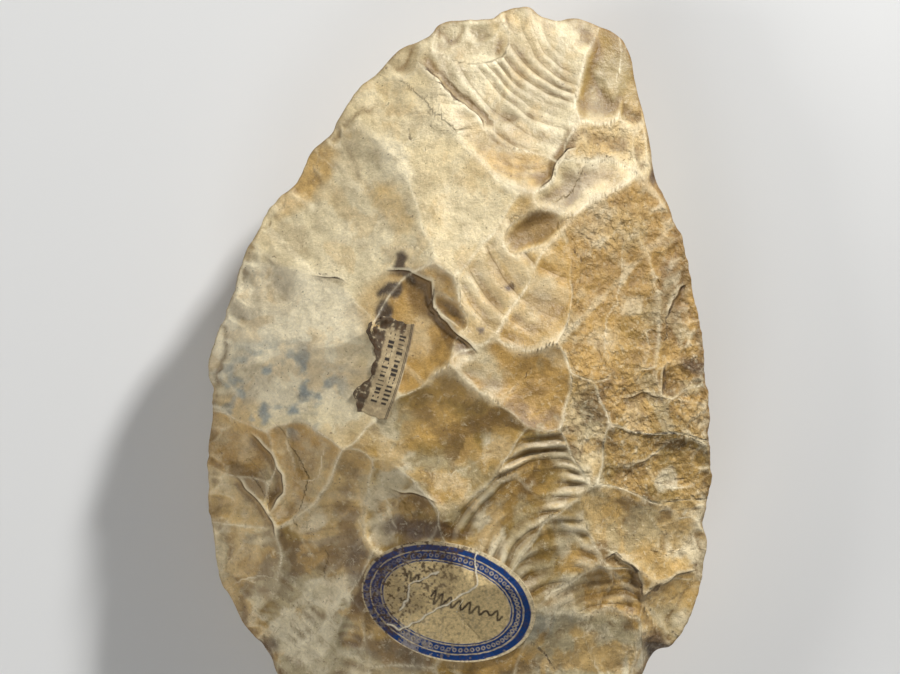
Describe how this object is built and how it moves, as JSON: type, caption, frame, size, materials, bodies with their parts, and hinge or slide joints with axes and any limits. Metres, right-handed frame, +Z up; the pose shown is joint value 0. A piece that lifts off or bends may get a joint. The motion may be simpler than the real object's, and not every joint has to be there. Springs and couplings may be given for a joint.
{
  "type": "stone hand axe",
  "caption": "Large flaked flint hand axe with an oval point and sharp edges, lying flat, with an old oval label and a torn paper strip.",
  "frame": {"origin": "under the middle of the axe, on the surface that it lies on", "axes": "+Y along the axe to its point, +X across it, +Z up through the labelled face"},
  "size_m": [0.101, 0.157, 0.0447],
  "materials": {
    "flint": "patinated flint, satin, cream to brown with dark stains",
    "label_paper": "old gummed paper with a blue border, matt and worn",
    "strip_paper": "torn brown paper, matt"
  },
  "bodies": {
    "root": {"hand_axe": "flint", "oval_label": "label_paper", "printed_strip": "strip_paper"}
  },
  "joints": []
}
